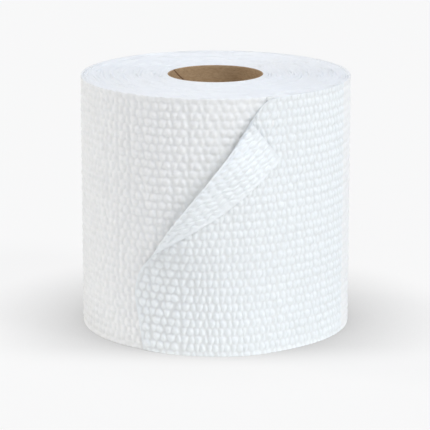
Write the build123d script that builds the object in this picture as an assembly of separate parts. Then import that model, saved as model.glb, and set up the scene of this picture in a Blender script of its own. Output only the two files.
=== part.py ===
from build123d import *
import os
from math import cos, degrees, hypot, radians, sin

# A toilet paper roll standing on its end: one long strip of embossed tissue wound on a
# cardboard core, with the loose end of the strip sprung off and its top corner turned over.
# Millimetres, +Z up. The origin is on the core's axis, on the plane that the roll stands on.
# -Y is the front, where the loose end lies. Angles run from the front towards +X.

# The roll
sheet_width = 106.7
roll_diameter = 114.4
turn_thickness = 0.3
core_diameter = 40.4
core_wall = 0.6

# The loose end, unrolled: "out" is the distance along the strip from the lift-off line,
# and "drop" the distance below the strip's top edge
lift_angle = 38.0
tail_spring = 2.5
foot_out = 69.5
bulge_out = 73.0
bulge_height = 24.0
shoulder_out = 14.0
shoulder_rounding = 7.0

# The turned-over corner: the fold's two ends, and the corner itself on top of the strip
fold_low_out = 66.0
fold_low_drop = 66.7
fold_high_out = 23.5
fold_high_drop = 10.5
corner_out = 11.5
corner_drop = 25.0
fold_radius = 1.2

# How the fold is joined: its bend is pressed a little thinner than the strip and reaches
# a short way into the strip on both sides, where the strip's own cut edge hides in it
press = 0.8
fold_reach = 1.6
edge_inset = 0.4

roll_radius = roll_diameter / 2
core_radius = core_diameter / 2
tail_radius = roll_radius - turn_thickness / 2 + tail_spring
flap_radius = tail_radius + 2 * fold_radius


def heading(angle):
    """Unit vector at this angle from the front, towards +X."""
    return Vector(sin(radians(angle)), -cos(radians(angle)), 0)


lift = heading(lift_angle)
tail_centre = lift * (roll_radius - turn_thickness / 2 - tail_radius)


def tail_angle(out):
    """Angle about the tail's own centre of a point this far out from the lift-off line."""
    return lift_angle - degrees(out / tail_radius)


def front_point(out, drop, radius):
    """Where a point of the unrolled tail is seen from the front: (x, z)."""
    x = tail_centre.X + radius * sin(radians(tail_angle(out)))
    return x, sheet_width - drop


def arc_point(centre, radius, angle):
    return centre + heading(angle) * radius


def arc_edge(centre, radius, start, end):
    """Arc in plan about a centre, between two angles from the front."""
    middle = (start + end) / 2
    places = [arc_point(centre, radius, angle) for angle in (start, middle, end)]
    return ThreePointArc(*places)


# The core: a tube of kraft board, wound on a mandrel, glued and cut flush with the paper.

def make_core():
    tube = Cylinder(core_radius, sheet_width, align=(Align.CENTER, Align.CENTER, Align.MIN))
    bore = Cylinder(core_radius - core_wall, sheet_width, align=(Align.CENTER, Align.CENTER, Align.MIN))
    return tube - bore


# The wound turns and the loose end in plan. The outer turn spirals in by one thickness over
# a full turn, as two half circles, and meets itself at the lift-off line. There the strip
# leaves the roll on a larger radius of its own.

def make_plan():
    far_side = lift_angle + 180
    full_turn = lift_angle + 360
    tail_end = tail_angle(bulge_out)
    second_centre = heading(far_side) * (turn_thickness / 2)
    outer_half = arc_edge(Vector(0, 0, 0), roll_radius, lift_angle, far_side)
    inner_half = arc_edge(second_centre, roll_radius - turn_thickness / 2, far_side, full_turn)
    tail_inside = arc_edge(tail_centre, tail_radius - turn_thickness / 2, lift_angle, tail_end)
    tail_outside = arc_edge(tail_centre, tail_radius + turn_thickness / 2, tail_end, lift_angle)
    free_edge = Line(tail_inside @ 1, tail_outside @ 0)
    outline = Wire([outer_half, inner_half, tail_inside, free_edge, tail_outside])
    return Face(outline) - Circle(core_radius)


# What is cut from the strip's loose end: everything past the free edge, the fold and the
# rounded shoulder, seen from the front. The tool stays in front of the roll's own surface.

def make_trimmer():
    margin = 5.0
    clear_of_roll = turn_thickness / 6
    foot = front_point(foot_out, sheet_width, tail_radius)
    bulge = front_point(bulge_out, sheet_width - bulge_height, tail_radius)
    fold_low = front_point(fold_low_out - edge_inset, fold_low_drop, tail_radius)
    fold_high = front_point(fold_high_out - edge_inset, fold_high_drop, tail_radius)
    shoulder = front_point(shoulder_out, 0, tail_radius)
    past_edge = bulge[0] - margin
    free_edge = Spline(foot, bulge, fold_low)
    fold = Line(fold_low, fold_high)
    corner = Bezier(fold_high, shoulder_turn(fold_low, fold_high), shoulder)
    surround = Polyline(
        shoulder,
        (shoulder[0], sheet_width + margin),
        (past_edge, sheet_width + margin),
        (past_edge, -margin),
        (foot[0], -margin),
        foot,
    )
    seen = Face(Wire([free_edge, fold, corner, *surround.edges()]))
    prism = extrude(Plane.XZ * seen, amount=2 * roll_diameter)
    low = tail_angle(bulge_out) - margin
    high = tail_angle(shoulder_out) + 1
    inner = tail_radius - turn_thickness / 2 - clear_of_roll
    band = sector(inner, tail_radius + margin, low, high, -margin, sheet_width + margin)
    return prism & band


def shoulder_turn(fold_low, fold_high):
    """The point that the shoulder rounds towards, on the fold's own line."""
    run = hypot(fold_high[0] - fold_low[0], fold_high[1] - fold_low[1])
    share = shoulder_rounding / run
    x = fold_high[0] + (fold_high[0] - fold_low[0]) * share
    z = fold_high[1] + (fold_high[1] - fold_low[1]) * share
    return x, z


def sector(inner, outer, low, high, bottom, top):
    """Piece of a tube about the tail's centre, between two angles and two heights."""
    inside = arc_edge(tail_centre, inner, low, high)
    outside = arc_edge(tail_centre, outer, high, low)
    start = Line(outside @ 1, inside @ 0)
    end = Line(inside @ 1, outside @ 0)
    plan = Face(Wire([inside, end, outside, start]))
    return extrude(Pos(0, 0, bottom) * plan, amount=top - bottom, dir=(0, 0, 1))


# The fold: half a round bend, swept along the slanting line where the corner turns over.

def make_bend():
    low_angle = tail_angle(fold_low_out)
    high_angle = tail_angle(fold_high_out)
    turned = high_angle - low_angle
    rise = fold_low_drop - fold_high_drop
    bend_radius = tail_radius + fold_radius
    path = Helix(pitch=rise * 360 / turned, height=rise, radius=bend_radius)
    start = Location(tail_centre + Vector(0, 0, sheet_width - fold_low_drop), (0, 0, low_angle - 90))
    path = start * path
    half = turn_thickness * press / 2
    # Local x runs outwards from the roll, and local y across the fold, away from the corner
    across = Plane(path @ 0, x_dir=heading(low_angle), z_dir=path % 0)
    section = bend_section(half)
    return sweep(across * section, path=path, is_frenet=True)


def bend_section(half):
    outer = fold_radius + half
    inner = fold_radius - half
    outer_arc = ThreePointArc((-outer, 0), (0, outer), (outer, 0))
    top_outside = Line((outer, 0), (outer, -fold_reach))
    top_end = Line((outer, -fold_reach), (inner, -fold_reach))
    top_inside = Line((inner, -fold_reach), (inner, 0))
    inner_arc = ThreePointArc((inner, 0), (0, inner), (-inner, 0))
    under_inside = Line((-inner, 0), (-inner, -fold_reach))
    under_end = Line((-inner, -fold_reach), (-outer, -fold_reach))
    under_outside = Line((-outer, -fold_reach), (-outer, 0))
    edges = [outer_arc, top_outside, top_end, top_inside, inner_arc, under_inside, under_end, under_outside]
    return Face(Wire(edges))


# The turned-over corner: a triangle of the strip, back to front, that lies on the strip.

def make_flap():
    low = front_point(fold_low_out - edge_inset, fold_low_drop, flap_radius)
    high = front_point(fold_high_out - edge_inset, fold_high_drop, flap_radius)
    corner = front_point(corner_out, corner_drop, flap_radius)
    seen = make_face(Polyline(low, high, corner, close=True))
    prism = extrude(Plane.XZ * seen, amount=2 * roll_diameter)
    inner = flap_radius - turn_thickness / 2
    outer = flap_radius + turn_thickness / 2
    band = sector(inner, outer, tail_angle(bulge_out), lift_angle + 10, 0, sheet_width)
    return prism & band


def make_paper():
    wound = extrude(make_plan(), amount=sheet_width)
    trimmed = wound - make_trimmer()
    return trimmed + make_bend() + make_flap()


os.makedirs("parts", exist_ok=True)
export_step(make_core(), "parts/core.step")
export_step(make_paper(), "parts/paper.step")
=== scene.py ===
from math import cos, pi, radians, sin

import bpy
import numpy as np
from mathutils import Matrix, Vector


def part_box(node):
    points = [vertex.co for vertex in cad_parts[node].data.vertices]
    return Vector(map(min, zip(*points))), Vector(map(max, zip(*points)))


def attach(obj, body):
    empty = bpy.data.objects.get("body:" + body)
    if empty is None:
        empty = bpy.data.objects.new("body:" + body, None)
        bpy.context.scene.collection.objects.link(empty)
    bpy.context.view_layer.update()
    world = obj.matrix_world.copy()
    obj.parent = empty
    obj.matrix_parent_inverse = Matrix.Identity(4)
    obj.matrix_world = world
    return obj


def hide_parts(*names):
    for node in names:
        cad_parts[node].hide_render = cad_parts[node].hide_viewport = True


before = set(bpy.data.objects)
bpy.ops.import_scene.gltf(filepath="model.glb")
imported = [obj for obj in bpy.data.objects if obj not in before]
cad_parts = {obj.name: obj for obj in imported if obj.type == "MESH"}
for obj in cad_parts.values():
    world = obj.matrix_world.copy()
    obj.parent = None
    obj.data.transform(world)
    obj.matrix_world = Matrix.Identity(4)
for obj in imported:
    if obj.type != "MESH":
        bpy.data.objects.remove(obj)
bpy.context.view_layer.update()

# A toilet paper roll standing on its end: a strip of embossed tissue wound on a kraft board
# core, with the loose end off the roll at the front and its top corner turned over. Sizes are
# in millimetres and become metres where a mesh is made. Angles round the roll start at the
# front, -Y, and run towards +X.
MM = 0.001
paper_high = np.array(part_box("paper")[1]) / MM
core_high = np.array(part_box("core")[1]) / MM
height = paper_high[2]
roll_radius = paper_high[0]
core_radius = core_high[0]


# The camera. A pinhole was fitted to the roll's outlines, so the lens, the distance and the
# height follow from the picture, and the middle of the roll is seen at one known pixel.
picture_width = 430
focal_pixels = 2411.1
sensor_width = 36
camera_distance = 1029.5
camera_elevation = radians(13.27)
middle_seen_x = 215.4
middle_seen_y = 196.6

middle = Vector((0, 0, height / 2))
up = Vector((0, sin(camera_elevation), cos(camera_elevation)))
away = Vector((0, cos(camera_elevation), -sin(camera_elevation)))
one_pixel = camera_distance / focal_pixels
aim = middle + up * (middle_seen_y - picture_width / 2) * one_pixel
aim.x -= (middle_seen_x - picture_width / 2) * one_pixel
camera_data = bpy.data.cameras.new("camera")
camera_data.sensor_width = sensor_width
camera_data.lens = focal_pixels / picture_width * sensor_width
camera_data.clip_end = 30
camera = bpy.data.objects.new("camera", camera_data)
bpy.context.collection.objects.link(camera)
camera.location = (middle - away * camera_distance) * MM
looking = aim - camera.location / MM
camera.rotation_euler = looking.to_track_quat("-Z", "Y").to_euler()
bpy.context.scene.camera = camera


# Colours and nodes. These are the numbers of a mix node's two colour inputs and its colour output.
mix_first = 6
mix_second = 7
mix_result = 2


def linear(hex_colour):
    """An sRGB colour, such as "#f9f9f9", as linear red, green, blue and alpha."""
    parts = [int(hex_colour[i:i + 2], 16) / 255 for i in (1, 3, 5)]
    return [p / 12.92 if p <= 0.04045 else ((p + 0.055) / 1.055) ** 2.4 for p in parts] + [1]


def add_node(tree, kind, settings=None, **links):
    """Adds a node. A setting is a property, or an input by its name or number, which takes a
    value or another node's output. A link feeds an output to the input of that name."""
    node = tree.nodes.new(kind)
    for name, value in (settings or {}).items():
        if isinstance(name, str) and name not in node.inputs:
            setattr(node, name, value)
        elif isinstance(value, bpy.types.NodeSocket):
            tree.links.new(value, node.inputs[name])
        else:
            node.inputs[name].default_value = value
    for name, output in links.items():
        wanted = name.replace("_", " ")
        socket = next(s for s in node.inputs if s.name == wanted and not s.is_linked and s.enabled)
        tree.links.new(output, socket)
    return node


def add_math(tree, operation, *values, clamped=False):
    """Adds a maths node on numbers or other nodes' outputs, and gives its output."""
    settings = {"operation": operation, "use_clamp": clamped, **dict(enumerate(values))}
    return add_node(tree, "ShaderNodeMath", settings).outputs[0]


def add_colour_mix(tree, share, first, second, blend="MIX"):
    """Adds a mix of two colours. Each is a fixed colour or another node's output."""
    settings = {"data_type": "RGBA", "blend_type": blend, mix_first: first, mix_second: second}
    return add_node(tree, "ShaderNodeMix", settings, Factor=share)


# The stage: a plain pale floor under an even studio sky, cool above and neutral at the sides.
# Five soft lamps light the roll, the strongest from the front right. Floor and sky are seen in
# the background's own colour.
background = linear("#f9f9f9")
sky_side = linear("#89837b")
sky_above = linear("#757982")
# Each lamp: how far round from the front, how high, its share of full light, softness and colour
lamps = {
    "key_lamp": (57, 42, 0.455, 14, "#fafcff"),
    "side_lamp": (92, 38, 0.09, 14, "#fbfdff"),
    "front_lamp": (-12, 30, 0.24, 60, "#fdfeff"),
    "left_lamp": (-107, 32, 0.37, 12, "#fffaf4"),
    "top_lamp": (0, 86, 0.11, 30, "#90bcff"),
}

scene = bpy.context.scene
scene.view_settings.view_transform = "Standard"
world = bpy.data.worlds.new("studio_sky")
scene.world = world
world.use_nodes = True
sky = world.node_tree
sky.nodes.clear()
direction = add_node(sky, "ShaderNodeTexCoord").outputs["Generated"]
elevation = add_node(sky, "ShaderNodeSeparateXYZ", Vector=direction).outputs["Z"]
share_above = add_node(sky, "ShaderNodeMapRange", {"From Min": 0.1, "From Max": 0.9}, Value=elevation)
sky_colour = add_colour_mix(sky, share_above.outputs["Result"], sky_side, sky_above)
sky_light = add_node(sky, "ShaderNodeBackground", Color=sky_colour.outputs[mix_result])
seen_sky = add_node(sky, "ShaderNodeBackground", {"Color": background})
rays = add_node(sky, "ShaderNodeLightPath").outputs
seen_directly = add_math(sky, "ADD", rays["Is Camera Ray"], rays["Is Glossy Ray"], clamped=True)
seen_at_all = add_math(sky, "ADD", seen_directly, rays["Is Transmission Ray"], clamped=True)
sky_mix = add_node(
    sky, "ShaderNodeMixShader", {0: seen_at_all, 1: sky_light.outputs[0], 2: seen_sky.outputs[0]}
)
add_node(sky, "ShaderNodeOutputWorld", Surface=sky_mix.outputs[0])

for lamp_name, (lamp_round, lamp_up, lamp_share, lamp_softness, lamp_colour) in lamps.items():
    lamp_data = bpy.data.lights.new(lamp_name, "SUN")
    lamp_data.energy = lamp_share * pi
    lamp_data.angle = radians(lamp_softness)
    lamp_data.color = linear(lamp_colour)[:3]
    lamp = bpy.data.objects.new(lamp_name, lamp_data)
    bpy.context.collection.objects.link(lamp)
    lamp_from = Vector((
        sin(radians(lamp_round)) * cos(radians(lamp_up)),
        -cos(radians(lamp_round)) * cos(radians(lamp_up)),
        sin(radians(lamp_up)),
    ))
    lamp.rotation_euler = (-lamp_from).to_track_quat("-Z", "Y").to_euler()

floor_lit = linear("#fbf9f5")
floor_own_share = 0.9
# The colour of the floor's painted shadow
painted_shadow_colour = linear("#7e7e7e")
thinned_share = 0.86
# These are in metres
shadow_reach = 0.055
thinned_from = -0.04
thinned_to = -0.075
floor_half = 6.0

# Matt floor paint. The camera sees it glowing in the background's colour, darkened by a painted shadow
# where the roll hides the sky from it. The light that it throws back on the roll comes from the paint
# itself.
floor_paint = bpy.data.materials.new("matt_floor_paint")
floor_paint.use_nodes = True
floor_tree = floor_paint.node_tree
floor_tree.nodes.clear()
matt = add_node(floor_tree, "ShaderNodeBsdfDiffuse", {"Color": floor_lit})
open_sky = add_node(floor_tree, "ShaderNodeAmbientOcclusion", {"Distance": shadow_reach, "samples": 8})
# In front of the roll the painted shadow is thinned, as the front lamp would thin a real one
floor_place = add_node(floor_tree, "ShaderNodeTexCoord").outputs["Object"]
floor_y = add_node(floor_tree, "ShaderNodeSeparateXYZ", Vector=floor_place).outputs["Y"]
thinning = {"From Min": thinned_from, "From Max": thinned_to, "To Max": thinned_share}
thinned = add_node(
    floor_tree, "ShaderNodeMapRange", {"interpolation_type": "SMOOTHSTEP", **thinning}, Value=floor_y
)
openness = add_node(
    floor_tree, "ShaderNodeMix", {"data_type": "FLOAT", 2: open_sky.outputs["AO"], 3: 1},
    Factor=thinned.outputs["Result"],
)
painted_shadow = add_colour_mix(floor_tree, openness.outputs[0], painted_shadow_colour, background)
glow = add_node(floor_tree, "ShaderNodeEmission", {"Strength": 1}, Color=painted_shadow.outputs[mix_result])
floor_rays = add_node(floor_tree, "ShaderNodeLightPath").outputs
own_share = add_math(floor_tree, "MULTIPLY", floor_rays["Is Camera Ray"], floor_own_share)
floor_mix = add_node(
    floor_tree, "ShaderNodeMixShader", {0: own_share, 1: matt.outputs[0], 2: glow.outputs[0]}
)
add_node(floor_tree, "ShaderNodeOutputMaterial", Surface=floor_mix.outputs[0])

floor_mesh = bpy.data.meshes.new("studio_floor")
floor_corners = [(x * floor_half, y * floor_half, 0) for x, y in ((-1, -1), (1, -1), (1, 1), (-1, 1))]
floor_mesh.from_pydata(floor_corners, [], [(0, 1, 2, 3)])
floor_mesh.materials.append(floor_paint)
studio_floor = bpy.data.objects.new("studio_floor", floor_mesh)
bpy.context.collection.objects.link(studio_floor)


# What the pieces share: places round the roll, a soft step, the faces of a ring and the mesh.
def around(angles, radii, heights):
    """Points at these angles, in radians from the front, and these radii and heights."""
    angles, radii, heights = np.broadcast_arrays(angles, radii, heights)
    return np.stack([radii * np.sin(angles), -radii * np.cos(angles), heights], axis=-1)


def smoothstep(share):
    share = np.clip(share, 0, 1)
    return share * share * (3 - 2 * share)


def ring_faces(loops, points):
    """Quads of a closed ring: each loop round its section, and the loops joined in a circle."""
    loop = np.arange(loops)[:, None] * points
    step = np.arange(points)[None, :]
    next_loop = (loop + points) % (loops * points)
    next_step = (step + 1) % points
    quads = np.stack([loop + step, loop + next_step, next_loop + next_step, next_loop + step], axis=-1)
    return quads.reshape(-1, 4).tolist()


def add_piece(name, points, faces, material, sharp_angle=radians(50), pressed_and_shade=None):
    """Makes a mesh piece from points in millimetres, with soft shading except at real edges.
    Where it is embossed or the turns' cut edges show, a number from 0 to 1 at each point says how
    far the plies are squeezed together there and how much painted shade the point gets."""
    mesh = bpy.data.meshes.new(name)
    mesh.from_pydata((np.asarray(points).reshape(-1, 3) * MM).tolist(), [], faces)
    mesh.materials.append(material)
    mesh.shade_smooth()
    mesh.set_sharp_from_angle(angle=sharp_angle)
    if pressed_and_shade is not None:
        mesh.attributes.new("pressed_and_shade", "FLOAT", "POINT").data.foreach_set("value", pressed_and_shade)
    piece = bpy.data.objects.new(name, mesh)
    bpy.context.collection.objects.link(piece)
    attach(piece, "root")
    return piece


# The core: two plies of grey-brown kraft board, wound slantwise on a mandrel, glued and cut
# to the width of the paper. Each ply's edge shows as a fine slanting seam up the bore.
core_wall = 0.6
seam_lead = 98.0
seam_start = 40.1
seam_slope = radians(38.5)
seam_width = 0.7
seam_depth = 0.22
ply_step = 0.12
rim_rounding = 0.12
core_loops = 180
bore_steps = 120
wall_steps = 24

# Kraft board, uncoated: recycled fibre, matt and slightly mottled, so it shows short pale and
# dark fibres that follow the winding, and no gloss at all.
kraft = bpy.data.materials.new("kraft_board_uncoated")
kraft.use_nodes = True
kraft_tree = kraft.node_tree
kraft_shader = kraft_tree.nodes["Principled BSDF"]
for input_name, value in (("Roughness", 0.92), ("IOR", 1.45), ("Specular IOR Level", 0.3)):
    kraft_shader.inputs[input_name].default_value = value
board_place = add_node(kraft_tree, "ShaderNodeTexCoord").outputs["Object"]
# Fibres are 0.03 mm wide, too fine to show, and are drawn 0.3 mm wide and three times as long
fibre_width = 0.3 * MM
fibre_stretch = add_node(
    kraft_tree, "ShaderNodeMapping", {"Scale": (0.35, 0.35, 1.0), "Rotation": (0.2, 0.3, 0.0)},
    Vector=board_place,
)
fibres = add_node(
    kraft_tree, "ShaderNodeTexNoise", {"Scale": 0.5 / fibre_width, "Detail": 4, "Roughness": 0.65},
    Vector=fibre_stretch.outputs[0],
)
# The board is mottled in patches of about 5 mm
mottles_per_metre = 220
mottle = add_node(
    kraft_tree, "ShaderNodeTexNoise", {"Scale": mottles_per_metre, "Detail": 3}, Vector=board_place
)
fibre_tone = add_node(
    kraft_tree, "ShaderNodeMapRange", {"From Min": 0.3, "From Max": 0.72}, Value=fibres.outputs["Fac"]
)
board_colour = add_colour_mix(
    kraft_tree, fibre_tone.outputs["Result"], linear("#ab9070"), linear("#c8ae8c")
)
board_mottled = add_colour_mix(
    kraft_tree, mottle.outputs["Fac"], board_colour.outputs[mix_result], linear("#f2eee9"), "MULTIPLY"
)
# The seam between two turns of board is an open slit. Its dark colour is partly the board's darker
# cut edge and partly painted shade inside the slit
slit_from = 0.6 * seam_width / seam_lead
slit_to = 1.6 * seam_width / seam_lead
slit_strength = 0.85
seam_place = add_node(kraft_tree, "ShaderNodeSeparateXYZ", Vector=board_place).outputs
to_front = add_math(kraft_tree, "MULTIPLY", seam_place["Y"], -1)
round_core = add_math(kraft_tree, "ARCTAN2", seam_place["X"], to_front)
turns_round = add_math(kraft_tree, "DIVIDE", round_core, 2 * pi)
turns_up = add_node(
    kraft_tree, "ShaderNodeMapRange",
    {"clamp": False, "From Min": seam_start * MM, "From Max": (seam_start + seam_lead) * MM},
    Value=seam_place["Z"],
)
past_seam = add_math(kraft_tree, "SUBTRACT", turns_up.outputs["Result"], turns_round)
seam_turn = add_math(kraft_tree, "FRACT", past_seam)
in_slit = add_node(
    kraft_tree, "ShaderNodeMapRange",
    {"From Min": slit_from, "From Max": slit_to, "To Min": slit_strength, "To Max": 0},
    Value=seam_turn,
)
# The slit's painted shade over the board's darker cut edge
board_slit = add_colour_mix(
    kraft_tree, in_slit.outputs["Result"], board_mottled.outputs[mix_result], linear("#5f3a28")
)
kraft_tree.links.new(board_slit.outputs[mix_result], kraft_shader.inputs["Base Color"])
board_bump = add_node(
    kraft_tree, "ShaderNodeBump", {"Strength": 0.5, "Distance": 0.08 * MM}, Height=fibres.outputs["Fac"]
)
kraft_tree.links.new(board_bump.outputs[0], kraft_shader.inputs["Normal"])

core_angles = np.linspace(0, 2 * pi, core_loops, endpoint=False)[:, None]
bore_radius = core_radius - core_wall
bore_heights = np.linspace(height - rim_rounding, rim_rounding, bore_steps)[None, :]
# How far each place of the bore is above the nearest seam below it, as a share of the lead
seam_share = np.mod((bore_heights - seam_start) / seam_lead - core_angles / (2 * pi), 1)
above_seam = seam_share * seam_lead * cos(seam_slope)
groove = seam_depth * np.exp(-((above_seam - seam_width / 2) / (seam_width / 2)) ** 2)
bore = around(core_angles, bore_radius + groove + ply_step * (1 - seam_share), bore_heights)
outside_heights = np.linspace(rim_rounding, height - rim_rounding, wall_steps)[None, :]
outside = around(core_angles, core_radius, outside_heights)
inner_rim = bore_radius + rim_rounding + ply_step / 2
outer_rim = core_radius - rim_rounding
rim_below = around(core_angles, np.array([[inner_rim, outer_rim]]), 0)
rim_above = around(core_angles, np.array([[outer_rim, inner_rim]]), height)
core_points = np.concatenate([bore, rim_below, outside, rim_above], axis=1)
board_core = add_piece(
    "board_core", core_points, ring_faces(core_loops, core_points.shape[1]), kraft
)
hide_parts("core")


# The wound turns: about 120 turns of three-ply tissue on top of each other. What shows is the
# cut edge of each turn at both ends, where the turns stand a little proud or low of each other.
outer_turn_thickness = 1.2
wound_radius = roll_radius - outer_turn_thickness
# The ends are rounded at the outside, and the top one is level beside the core
end_rounding = 0.35
rounding_reach = 1.2
level_reach = 2.5
foot_clearance = 0.4
wall_margin = 1
# The waves that the turns' edges make: their height, how many, and their lengths
turn_relief = 0.075
lower_relief_share = 0.5
winding_waves = 26
shortest_wave = 0.85
wave_range = 5
# Painted shade on the turns' cut edges: how much all over, and how much less where they stand proud
end_shade = 0.16
end_shade_relief = 0.05
# How many points round the roll, across each end and up the sides
wound_loops = 470
end_steps = 98
wall_rows = 5
tissue_sharp_angle = radians(75)

# Tissue, creped and embossed: bleached fibre, without any gloss. Light scatters inside it, so
# hollows stay bright, and fibres stand off the surface as a faint fuzz.
tissue = bpy.data.materials.new("creped_tissue_embossed")
tissue.use_nodes = True
tissue_tree = tissue.node_tree
tissue_shader = tissue_tree.nodes["Principled BSDF"]
for input_name, value in (
    ("Roughness", 0.95), ("IOR", 1.4), ("Specular IOR Level", 0.2), ("Sheen Weight", 0.12),
    ("Sheen Roughness", 0.6),
):
    tissue_shader.inputs[input_name].default_value = value
tissue_place = add_node(tissue_tree, "ShaderNodeTexCoord").outputs["Object"]
# Fibres are 0.02 mm wide, too fine to show, and are drawn as clumps 0.35 mm across
clump = 0.35 * MM
fibre_clumps = add_node(
    tissue_tree, "ShaderNodeTexNoise", {"Scale": 0.5 / clump, "Detail": 5, "Roughness": 0.7},
    Vector=tissue_place,
)
# The fibre lies thicker and thinner in patches of about 8 mm
patches_per_metre = 130
formation = add_node(
    tissue_tree, "ShaderNodeTexNoise", {"Scale": patches_per_metre, "Detail": 3}, Vector=tissue_place
)
tissue_colour = add_colour_mix(
    tissue_tree, formation.outputs["Fac"], linear("#f0f1f0"), linear("#f7f8f7")
)
# Between the pillows the plies are pressed together and the tissue is a little less white; the
# colour there is darkened further as painted shade in the grooves. The same mix paints shade on
# the turns' cut edges.
pressed_and_shaded_tissue = add_node(tissue_tree, "ShaderNodeAttribute", {"attribute_name": "pressed_and_shade"})
tissue_shade = add_colour_mix(
    tissue_tree, pressed_and_shaded_tissue.outputs["Fac"], tissue_colour.outputs[mix_result], linear("#e9ecec")
)
tissue_tree.links.new(tissue_shade.outputs[mix_result], tissue_shader.inputs["Base Color"])
tissue_bump = add_node(
    tissue_tree, "ShaderNodeBump", {"Strength": 0.35, "Distance": 0.06 * MM},
    Height=fibre_clumps.outputs["Fac"],
)
tissue_tree.links.new(tissue_bump.outputs[0], tissue_shader.inputs["Normal"])


def turn_edges(angles, radii, seed):
    """How far the cut edges of the turns stand above the end's plane, in millimetres: waves that
    wind round the end in a few arms, waver in and out, and swell and fade on their way."""
    draw = np.random.default_rng(seed)
    relief = np.zeros(np.broadcast(angles, radii).shape)
    for _ in range(winding_waves):
        wavelength = shortest_wave * wave_range ** draw.random()
        arms = draw.integers(-3, 4)
        wobble = draw.normal(0, 0.25)
        bends = draw.integers(1, 9)
        start = 2 * pi * draw.random(3)
        along = radii + wobble * np.sin(bends * angles + start[0])
        swell = 0.3 + 0.9 * np.sin(draw.integers(2, 12) * angles + start[1])
        relief += swell * np.sin(2 * pi * along / wavelength + arms * angles + start[2])
    return turn_relief * relief


wound_angles = np.linspace(0, 2 * pi, wound_loops, endpoint=False)[:, None]
end_radii = np.linspace(core_radius, wound_radius, end_steps)[None, :]
rounding_off = end_rounding * smoothstep((end_radii - wound_radius + rounding_reach) / rounding_reach) ** 2
upper_edges = turn_edges(wound_angles, end_radii, 3)
lower_edges = turn_edges(wound_angles, end_radii, 5)
# The core is cut with the turns, so they lie level beside it
beside_core = smoothstep((end_radii - core_radius) / level_reach)
end_above = around(wound_angles, end_radii, height - rounding_off + beside_core * upper_edges)
lower_heights = foot_clearance + rounding_off - lower_relief_share * lower_edges
end_below = around(wound_angles, end_radii, lower_heights)
wall_shares = np.linspace(0, 1, wall_rows + 2)[None, 1:-1]
wall_heights = wall_margin + (height - 2 * wall_margin) * wall_shares
wound_wall = around(wound_angles, wound_radius, wall_heights)
bore_wall = around(wound_angles, core_radius, wall_heights)
wound_points = np.concatenate([end_below, wound_wall, end_above[:, ::-1], bore_wall[:, ::-1]], axis=1)
# Painted shade on the cut edges: darker where the turns lie low, lighter where they stand proud
turns_painted_shade = np.clip(end_shade - upper_edges / turn_relief * end_shade_relief, 0, 1)
wound_painted_shade = np.zeros(wound_points.shape[:2])
wound_painted_shade[:, :end_steps] = turns_painted_shade
wound_painted_shade[:, end_steps + wall_rows:2 * end_steps + wall_rows] = turns_painted_shade[:, ::-1]
wound_turns = add_piece(
    "wound_turns", wound_points, ring_faces(wound_loops, wound_points.shape[1]), tissue,
    tissue_sharp_angle, wound_painted_shade.ravel(),
)
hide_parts("paper")


# The outer turn: sheets of three-ply tissue, 103.9 mm from perforation to perforation, with
# round pillows pressed in between steel rolls. A perforation is a row of short slits, and the
# tabs between them still join the sheets.
sheet_length = 103.9
tissue_thickness = 0.22
turn_thickness = 0.3
lift_angle = radians(38)
free_edge_angle = radians(-35.2)
lowest = 0.05
behind_gap = 0.02
# The last sheet sinks under the loose end, and runs on a little below it
tuck_length = 14
tuck_depth = 0.6
tucked_under = 6
# The perforation's groove, and the slits and tabs along it
perforation_half_width = 0.35
perforation_depth = 0.3
tab_dip = 0.35
slit_and_tab = 4.2
slit_share = 0.72
slit_end_sharpness = 6
# Cutting curls the top and bottom edges inwards, and leaves less of the embossing there
curl_reach = 0.5
upper_curl = 0.25
lower_curl = 0.15
cut_reach = 1.6
cut_relief = 0.15
# The mesh has so many rows of points for each embossed row, and every eighth point inside
points_per_row = 8
inside_step = 8

circle = 2 * pi * roll_radius
tail_length = (lift_angle - free_edge_angle) * roll_radius
strip_end = tail_length + circle

# The embossing runs from 0 in its grooves to 1 on its pillows, with plain tissue in between
pillow_height = 0.95
wound_pillow_height = 0.84
# How much of the grooves' pressed colour and painted shade the wound sheets get
wound_press_and_shade = 0.25
plain_level = 0.6
row_spacing = 3.42
pitch_tight = 2.42
pitch_wide = 3.3
tight_from = 18
tight_run = 14
wide_from = 150
wide_run = 90
# A pillow's widths and shifts are shares of the pitch, and its reach is a share of the spacing
pillow_reach = 0.55
odd_row_shift = 0.35
large_width = 1.08
small_width = 0.76
tapering = 0.36
width_spread = 0.2
place_spread = 0.32
large_top = 0.78
small_top = 0.66
top_spread = 0.18
top_slant = 0.38
# The powers that make its dome round: across, upwards and at its shoulder
dome_across = 2.2
dome_up = 2.3
dome_shoulder = 1.1


def bump_number(length):
    """The number of bumps up to this length along the strip, from its free edge. The bumps are
    wide at the free edge, tight from 32 mm on, and wide again from the far side of the roll."""
    step = 0.1
    places = np.linspace(-10, 600, 6101)
    tightening = smoothstep((places - tight_from) / tight_run)
    widening = smoothstep((places - wide_from) / wide_run)
    pitch = pitch_wide + (pitch_tight - pitch_wide) * tightening * (1 - widening)
    numbers = np.concatenate([[0], np.cumsum(step / pitch[:-1])])
    return np.interp(length, places, numbers)


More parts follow.
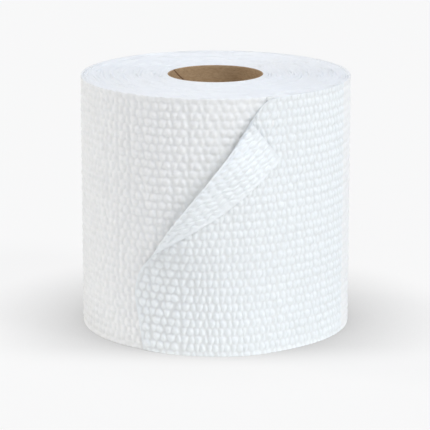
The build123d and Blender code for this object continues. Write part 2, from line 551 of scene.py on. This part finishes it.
def pillows(bump, row):
    """Height of the embossing, 0 in the grooves to 1 on top: level rows of teardrops, one with
    its point down and the next with its point up, so that straight slanting grooves part them."""
    height_here = np.zeros(np.broadcast(bump, row).shape)
    for line in (np.floor(row), np.floor(row) + 1):
        odd_row = np.mod(line, 2)
        upwards = (row - line) / pillow_reach
        place = bump + odd_row_shift * odd_row
        for number in (np.floor(place), np.floor(place) + 1):
            # Every pillow has a number of its own from 0 to 1, the same on each run
            own = np.mod(np.sin(12.9898 * number + 78.233 * line) * 43758.5453, 1)
            point_up = np.mod(number, 2)
            large = np.abs(point_up - odd_row) < 0.5
            taper = tapering * (1 - 2 * point_up) * np.clip(upwards, -1, 1)
            width = np.where(large, large_width, small_width) + taper + width_spread * (own - 0.5)
            shift = place_spread * (np.mod(7.31 * own, 1) - 0.5)
            sideways = (place - number + shift) / (0.5 * width)
            from_middle = np.abs(sideways) ** dome_across + np.abs(upwards) ** dome_up
            dome = 1 - np.minimum(from_middle, 1) ** dome_shoulder
            top = np.where(large, large_top, small_top) + top_spread * own
            dome = dome * (top + top_slant * np.clip(sideways, -1, 1))
            height_here = np.maximum(height_here, dome)
    return height_here


def pressed_and_groove_shade(pillow):
    """How far the plies are squeezed together and how much painted shade falls in the grooves: 1 in the
    grooves, 0 from plain tissue upwards.
    """
    return 1 - smoothstep(pillow / plain_level)


def shell_faces(rows, columns, inside_rows, inside_columns):
    """Faces of a closed shell: the full grid outside, some of its rows and columns inside."""
    outside = np.arange(rows * columns).reshape(rows, columns)
    inside = rows * columns + np.arange(len(inside_rows) * len(inside_columns))
    inside = inside.reshape(len(inside_rows), len(inside_columns))
    faces = []
    for grid, turned in ((outside, False), (inside, True)):
        corners = [grid[:-1, :-1], grid[:-1, 1:], grid[1:, 1:], grid[1:, :-1]]
        quads = np.stack(corners[::-1] if turned else corners, axis=-1)
        faces += quads.reshape(-1, 4).tolist()
    for edge, back, steps, turned in (
        (outside[0], inside[0], inside_columns, False),
        (outside[-1], inside[-1], inside_columns, True),
        (outside[:, 0], inside[:, 0], inside_rows, True),
        (outside[:, -1], inside[:, -1], inside_rows, False),
    ):
        for k in range(len(steps) - 1):
            rim = edge[steps[k]:steps[k + 1] + 1].tolist()
            rim = rim[::-1] + [int(back[k]), int(back[k + 1])]
            faces.append(rim[::-1] if turned else rim)
    return faces


def every(count, step):
    """Every so many numbers below count, with the last one always there."""
    return sorted(set(range(0, count, step)) | {count - 1})


def turn_radius(length):
    """Outside of the outer turn: it spirals in by one thickness from the lift-off line."""
    return roll_radius - turn_thickness * (length - tail_length) / circle


def perforation(heights):
    """How much of a slit or a tab lies at these heights: 1 in a slit, 0 on a tab."""
    from_tab = slit_share - np.abs(np.mod(heights / slit_and_tab, 1) - 0.5) * 2
    return np.clip(from_tab * slit_end_sharpness, 0, 1)


def add_wound_sheet(name, start, end, columns, rows):
    """One sheet of the outer turn, from this length along the strip to that one."""
    lengths = np.linspace(start, end, columns)[None, :]
    heights = np.linspace(lowest, height, rows)[:, None]
    angles = free_edge_angle + lengths / roll_radius
    from_cut = np.minimum(height - heights, heights)
    left = cut_relief + (1 - cut_relief) * smoothstep(from_cut / cut_reach)
    pillow = 1 + (pillows(bump_number(lengths), heights / row_spacing) - 1) * left
    relief = wound_pillow_height * (pillow - 1)
    to_edge = np.minimum(lengths - start, end - lengths)
    slit = np.exp(-(to_edge / perforation_half_width) ** 2)
    slit = slit * (tab_dip + (1 - tab_dip) * perforation(heights))
    curl = upper_curl * np.exp(-(height - heights) / curl_reach) + lower_curl * np.exp(-heights / curl_reach)
    under = tuck_depth * smoothstep((lengths - strip_end + tuck_length) / tuck_length)
    radii = turn_radius(lengths) + relief - perforation_depth * slit - curl - under
    outside_points = around(angles, radii, heights)
    inside_rows = every(rows, inside_step)
    inside_columns = every(columns, inside_step)
    behind = around(angles, turn_radius(lengths) - outer_turn_thickness + behind_gap, heights)
    inside_points = behind[np.ix_(inside_rows, inside_columns)]
    points = np.concatenate([outside_points.reshape(-1, 3), inside_points.reshape(-1, 3)])
    pressed_and_shade = np.zeros(len(points))
    pressed_and_shade[:rows * columns] = wound_press_and_shade * pressed_and_groove_shade(pillow).ravel()
    faces = shell_faces(rows, columns, inside_rows, inside_columns)
    piece = add_piece(name, points, faces, tissue, tissue_sharp_angle, pressed_and_shade)
    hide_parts("paper")
    return piece


sheet_rows = int(height / row_spacing * points_per_row)
add_wound_sheet("second_sheet", sheet_length, 2 * sheet_length, 250, sheet_rows)
add_wound_sheet("third_sheet", 2 * sheet_length, 3 * sheet_length, 230, sheet_rows)
add_wound_sheet("fourth_sheet", 3 * sheet_length, 4 * sheet_length, 210, sheet_rows)
add_wound_sheet("fifth_sheet", 4 * sheet_length, strip_end + tucked_under, 36, 120)


# The loose end: the strip's first sheet, torn off at a perforation. It is glued by nothing and
# stands off the roll, its lower corner hangs free, and its top corner is turned over to the
# front in a round bend, so the strip's inner side shows there.

# A place on it is given unrolled: how far round from the front, and how far up
fold_low = (-26.0, 41.0)
fold_high = (13.6, 97.0)
corner = (27.2, 80.8)
# The free edge from the bottom upwards: how far up the strip, and where that is seen
free_edge = (
    (0, (-30.6, 0.3)),
    (13.5, (-33.0, 13.7)),
    (25.3, (-34.6, 25.4)),
    (30.5, (-33.4, 30.6)),
    (36.3, (-30.6, 35.9)),
)
# The corner is turned over from this far up the strip, and soon above that the fold is straight
tip_up = 42.0
straight_up = tip_up + 6

# The strip, off the roll: where it lifts off, how far it stands off, and where it swells
lift_place = 37.8
lift_drift = 10
lift_run = 26
strip_sunk = 0.4
strip_off = 1.7
low_corner_drop = 1.1
sway_height = 0.25
swell_height = 5.0
swell_reach = 16

# The fold's bend and the turned-over corner
bend_high = 2.2
bend_share = 0.28
thinnest = 0.12
pinch_up = 88
pinch = 0.6
flap_bulge = 1.7
flap_softness = 0.5
flap_whole = 3
flap_narrowest = 0.01
rest_gap = 0.1
rest_rise = 0.5
flap_leg_across = radians(124.6)
flap_leg_along = radians(34.0)
cover_margin = 0.3
cover_fade = 1.5
cover_depth = 0.3
shoulder_reach = 3.7
lip_height = 1.2
lip_depth = 2.6
lip_length = 8
lip_past_fold = 4

# The corner shows the embossing from behind, in columns that lie this far off level
flap_pitch = 2.2
flap_row_spacing = 3.6
columns_lie = radians(31)
column_waver = 0.1
column_waver_length = 1.3
# The embossing is calmer at the fold, at its shoulder, round the bend and at the sheet's edges
fold_margin = 0.3
fold_fade = 1.5
shoulder_calm = 0.6
shoulder_depth = 3.5
shoulder_length = 12
bend_plain = 1.2
bend_fade = 1.6
tear_reach = 2.2
tear_relief = 0.3

tail_rows = 225
tail_columns = 300
fine_share = 0.36
inner_gap = 0.03
fine_columns = int(tail_columns * fine_share)
right_end = sheet_length + free_edge_angle * roll_radius

# Tissue, creped, on its own and off the roll: the same fibre, with a little cooler colour that is
# painted light, standing for the light that passes through it.
loose_tissue = tissue.copy()
loose_tissue.name = "creped_tissue_loose_painted_cool"
# The loose sheet's painted cooler tint
loose_painted_tint = loose_tissue.node_tree.nodes[tissue_colour.name]
loose_painted_tint.inputs[mix_first].default_value = linear("#eef2f3")
loose_painted_tint.inputs[mix_second].default_value = linear("#f4f8f9")


def through(places, knots, values):
    """A smooth curve through these values at these knots, as cubic pieces."""
    knots = np.array(knots, float)
    values = np.array(values, float)
    slopes = np.gradient(values, knots)
    k = np.clip(np.searchsorted(knots, places, side="right") - 1, 0, len(knots) - 2)
    span = knots[k + 1] - knots[k]
    share = (places - knots[k]) / span
    left = (1 + 2 * share) * (1 - share) ** 2 * values[k] + share * (1 - share) ** 2 * span * slopes[k]
    right = share ** 2 * (3 - 2 * share) * values[k + 1] - share ** 2 * (1 - share) * span * slopes[k + 1]
    return left + right


def side_of_strip(up_strip):
    """The strip's left side as seen, round and up: the free edge, then the fold."""
    slope = (np.array(fold_high) - fold_low) / (height - tip_up)
    after = np.array(fold_low) + slope * (straight_up - tip_up)
    knots = [up_edge for up_edge, _ in free_edge] + [tip_up, straight_up, height]
    places = [place for _, place in free_edge] + [fold_low, after, fold_high]
    side = []
    for axis in (0, 1):
        curve = through(up_strip, knots, [place[axis] for place in places])
        line = fold_low[axis] + slope[axis] * (up_strip - tip_up)
        side.append(np.where(up_strip > straight_up, line, curve))
    return side


fold_line = np.array(fold_high) - fold_low
fold_length = np.linalg.norm(fold_line)
fold_line /= fold_length
fold_across = np.array([fold_line[1], -fold_line[0]])


def standoff(sideways, upwards):
    """How far the loose strip stands off the roll at a place. Its upper part lifts off nearer the
    front, its low corner hangs closer to the roll, and it swells beside the fold."""
    upper_part = smoothstep((upwards - 60) / 40)
    lift_line = lift_place - lift_drift * upper_part
    lifted = smoothstep((lift_line - sideways) / lift_run)
    low_corner = smoothstep((-sideways - 12) / 20) * (1 - smoothstep((upwards - 22) / 22))
    sway = sway_height * np.sin(sideways / 7.0 + upwards / 17.0)
    from_low = np.stack([sideways - fold_low[0], upwards - fold_low[1]], axis=-1)
    up_fold = np.clip(from_low @ fold_line / fold_length, 0, 1)
    swell = swell_height * np.sin(pi * up_fold) * np.exp(-((from_low @ fold_across) / swell_reach) ** 2)
    return lifted * (strip_off + sway - low_corner_drop * low_corner + swell)


up_strip = np.linspace(lowest, height, tail_rows)
edge_sideways, edge_upwards = side_of_strip(up_strip)
edge_run = np.stack([np.gradient(edge_sideways), np.gradient(edge_upwards)], axis=-1)
edge_run /= np.linalg.norm(edge_run, axis=-1, keepdims=True)
into_strip = np.stack([edge_run[:, 1], -edge_run[:, 0]], axis=-1)

# The turned-over length on each row grows from nothing at the low end to the whole corner
corner_from_top = np.array(corner) - fold_high
corner_across = corner_from_top @ fold_across
corner_along = corner_from_top @ fold_line
up_flap = (up_strip - tip_up) / (height - tip_up)
flap_width = corner_across * up_flap + flap_bulge * np.sin(pi * np.clip(up_flap, 0, 1))
flap_width = 0.5 * (flap_width + np.sqrt(flap_width ** 2 + flap_softness ** 2))
bend = thinnest + bend_high * (1 - np.exp(-bend_share * flap_width / bend_high))
bend *= 1 - pinch * smoothstep((up_strip - pinch_up) / (height - pinch_up))
turned = (pi - 1) * bend + flap_width
calm = np.clip(flap_width / flap_whole, 0, 1)[:, None]
start_sideways = edge_sideways + into_strip[:, 0] * bend
start_upwards = edge_upwards + into_strip[:, 1] * bend
row_length = turned + right_end - start_sideways
share = np.linspace(0, 1, tail_columns)[None, :]
distance = share * row_length[:, None] - turned[:, None]
is_past = distance < 0
from_top = height - up_strip[:, None]

# The part that lies on the roll: rows are level, but drop to meet the fold near it
on_roll = np.maximum(distance, 0)
flat_sideways = start_sideways[:, None] + on_roll
drop = (up_strip - start_upwards)[:, None] * np.exp(-on_roll / shoulder_reach)
flat_upwards = up_strip[:, None] - drop

# The part past the fold: round the bend, then back over the strip as a flat triangle
past = np.maximum(-distance, 0)
turning = np.minimum(past / bend[:, None], pi)
beyond = np.maximum(past - pi * bend[:, None], 0)
across = beyond - bend[:, None] * np.sin(turning)
along = beyond * corner_along / (corner_across - bend[-1])
lift_of_flap = bend[:, None] * (1 - np.cos(turning))
flat_width = np.maximum(turned - pi * bend, flap_narrowest)[:, None]
rest_height = rest_gap + rest_rise * calm
sinking = np.maximum(2 * bend[:, None] - rest_height, 0) * smoothstep(beyond / flat_width)
settled = lift_of_flap - sinking
sideways = flat_sideways + np.where(is_past, into_strip[:, :1] * across + edge_run[:, :1] * along, 0)
upwards = flat_upwards + np.where(is_past, into_strip[:, 1:] * across + edge_run[:, 1:] * along, 0)
off_strip = np.where(is_past, np.where(beyond > 0, settled, lift_of_flap), 0)

# Which way the strip's outer side faces: out from the roll, round the bend, then inwards
facing_out = np.cos(turning)
facing_in_plane = np.sin(turning)
angles = sideways / roll_radius
outwards = around(angles, 1, 0)
tangent = around(angles + pi / 2, 1, 0)
upright = np.array([0, 0, 1.0])
in_plane = into_strip[:, None, :1] * tangent + into_strip[:, None, 1:] * upright
faces_to = facing_out[..., None] * outwards + facing_in_plane[..., None] * in_plane

# The strip gives way a little where the corner covers it, and stands up in a lip at the top
leg_across = np.array([cos(flap_leg_across), sin(flap_leg_across)])
leg_along = np.array([cos(flap_leg_along), sin(flap_leg_along)])
legs = np.linalg.inv(np.stack([leg_across, leg_along], axis=-1))
from_corner = np.stack([sideways - corner[0], upwards - corner[1]], axis=-1) @ legs.T
past_leg = smoothstep((from_corner[..., 0] - cover_margin) / cover_fade)
below_leg = smoothstep((-from_corner[..., 1] - cover_margin) / cover_fade)
covered = np.where(is_past, 0, past_leg * below_leg)
lip = lip_height * np.exp(-(from_top / lip_depth) ** 2 - (on_roll / lip_length) ** 2)
lip = lip * np.exp(-(beyond / lip_past_fold) ** 2)
strip_radius = turn_radius(0) - strip_sunk + standoff(sideways, upwards)
middle_radius = strip_radius + off_strip + lip - cover_depth * covered
middle_points = around(angles, middle_radius, upwards)

# Embossing: level rows on the strip, calmer at the fold, and the corner's own columns
strip_relief = pillows(bump_number(sideways - free_edge_angle * roll_radius), upwards / row_spacing)
embossed = np.minimum(1 - covered, smoothstep((on_roll + fold_margin) / fold_fade))
on_shoulder = np.exp(-(from_top / shoulder_depth) ** 2 - (on_roll / shoulder_length) ** 2)
embossed = embossed * (1 - shoulder_calm * on_shoulder)
strip_relief = plain_level + (strip_relief - plain_level) * embossed
up_columns = (upwards - corner[1]) * cos(columns_lie) - (sideways - corner[0]) * sin(columns_lie)
along_columns = (sideways - corner[0]) * cos(columns_lie) + (upwards - corner[1]) * sin(columns_lie)
flap_across = up_columns / flap_pitch + column_waver * np.sin(along_columns / column_waver_length)
flap_relief = 1 - pillows(flap_across, along_columns / flap_row_spacing)
past_bend = smoothstep((turning - bend_plain) / bend_fade)
relief = np.where(is_past, past_bend * flap_relief + (1 - past_bend) * plain_level, strip_relief)
# Cutting and tearing pull the sheet's edges flatter
from_cut = np.minimum(distance + turned[:, None], np.minimum(up_strip, height - up_strip)[:, None])
edge_relief = tear_relief + (1 - tear_relief) * smoothstep(from_cut / tear_reach)
relief_offset = pillow_height * np.where(is_past, calm, 1) * edge_relief * (relief - 0.5)
outer_side = middle_points + faces_to * (relief_offset + tissue_thickness / 2)[..., None]
inner_side = middle_points + faces_to * (relief_offset - tissue_thickness / 2)[..., None]

# Away from the fold the inner side can't be seen, and is plain and drawn with fewer columns
plain_depth = 0.5 * pillow_height + tissue_thickness / 2 + inner_gap
inner_side[:, fine_columns:] = (middle_points - outwards * plain_depth)[:, fine_columns:]
inside_rows = list(range(tail_rows))
coarse_columns = [c for c in every(tail_columns, inside_step) if c >= fine_columns]
inside_columns = list(range(fine_columns)) + coarse_columns
tail_inside = inner_side[:, inside_columns]
tail_points = np.concatenate([outer_side.reshape(-1, 3), tail_inside.reshape(-1, 3)])
tail_faces = shell_faces(tail_rows, tail_columns, inside_rows, inside_columns)
# The grooves' pressed colour and painted shade; the inner side gets none
outside_pressed_and_shade = pressed_and_groove_shade(np.where(is_past, plain_level, strip_relief))
inside_pressed_and_shade = np.zeros(tail_inside.shape[:2])
tail_pressed_and_shade = np.concatenate([outside_pressed_and_shade.ravel(), inside_pressed_and_shade.ravel()])
loose_sheet = add_piece(
    "loose_sheet", tail_points, tail_faces, loose_tissue, tissue_sharp_angle, tail_pressed_and_shade
)
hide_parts("paper")
